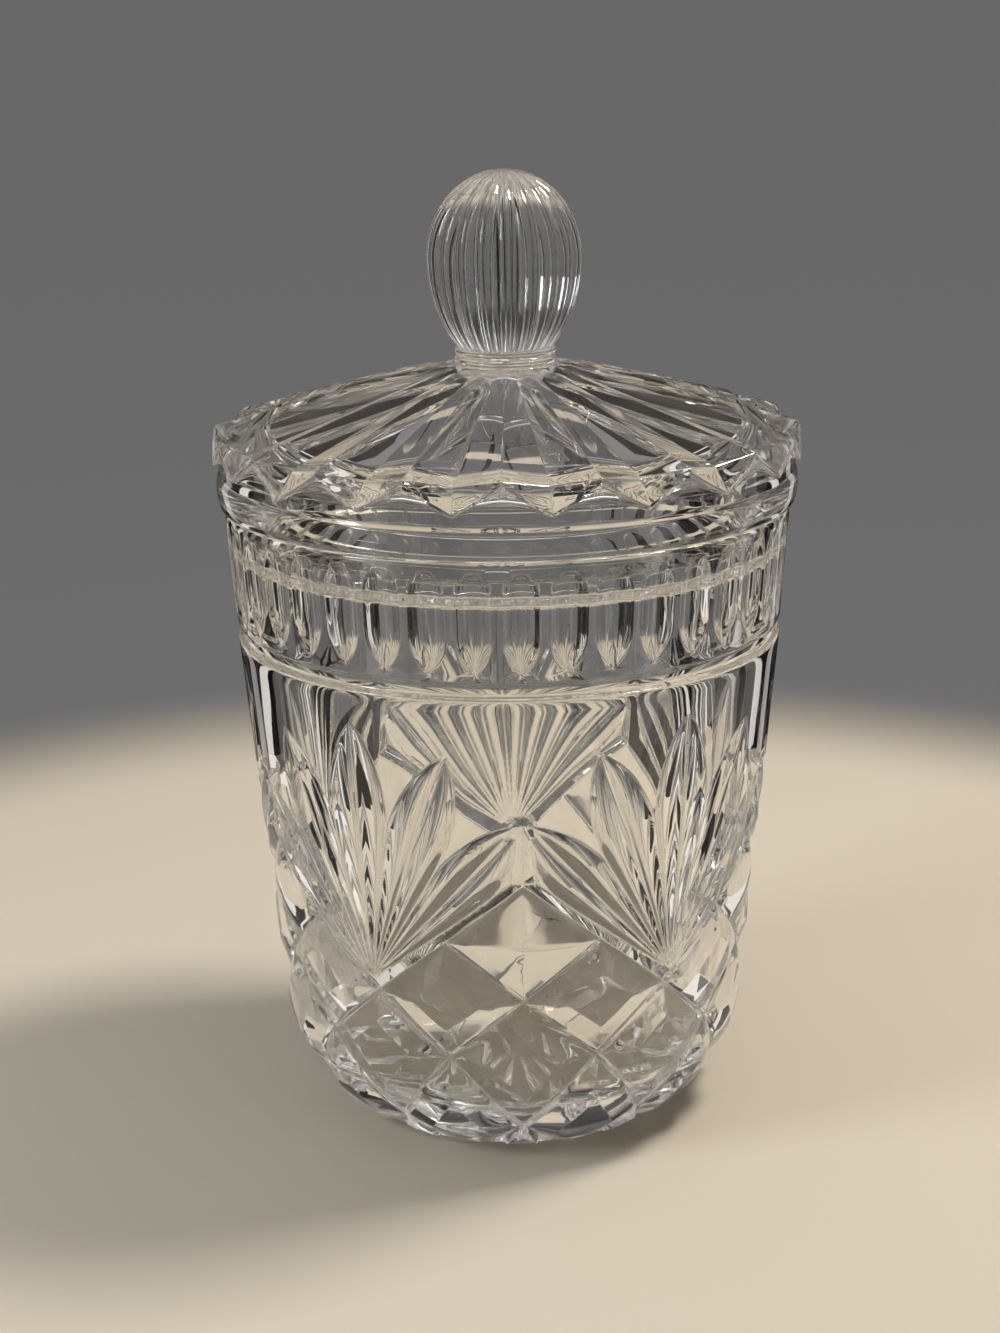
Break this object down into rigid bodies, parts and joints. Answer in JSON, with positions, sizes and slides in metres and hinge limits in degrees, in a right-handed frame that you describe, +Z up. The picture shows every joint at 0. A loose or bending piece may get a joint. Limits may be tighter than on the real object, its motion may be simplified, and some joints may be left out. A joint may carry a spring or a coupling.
{
  "type": "lidded crystal jar",
  "caption": "Clear crystal barrel jar with diamond and fan cutting, a fluted collar and a pleated lift-off lid with a ribbed knob, for biscuits or sweets.",
  "frame": {"origin": "centre of the flat foot, on the table", "axes": "+Z up along the jar's axis, -Y out of the front column of diamonds, +X to the right"},
  "size_m": [0.1406, 0.1406, 0.23],
  "materials": {
    "jar_crystal": "polished clear crystal",
    "lid_crystal": "polished clear crystal",
    "knob_crystal": "polished clear crystal"
  },
  "bodies": {
    "jar": {"jar": "jar_crystal"},
    "lid": {"lid": "lid_crystal", "knob": "knob_crystal"}
  },
  "joints": [
    {"name": "lid_lift", "type": "slide", "parent": "jar", "child": "lid", "axis": [0, 0, 1], "range_m": [0, 0.06]}
  ]
}
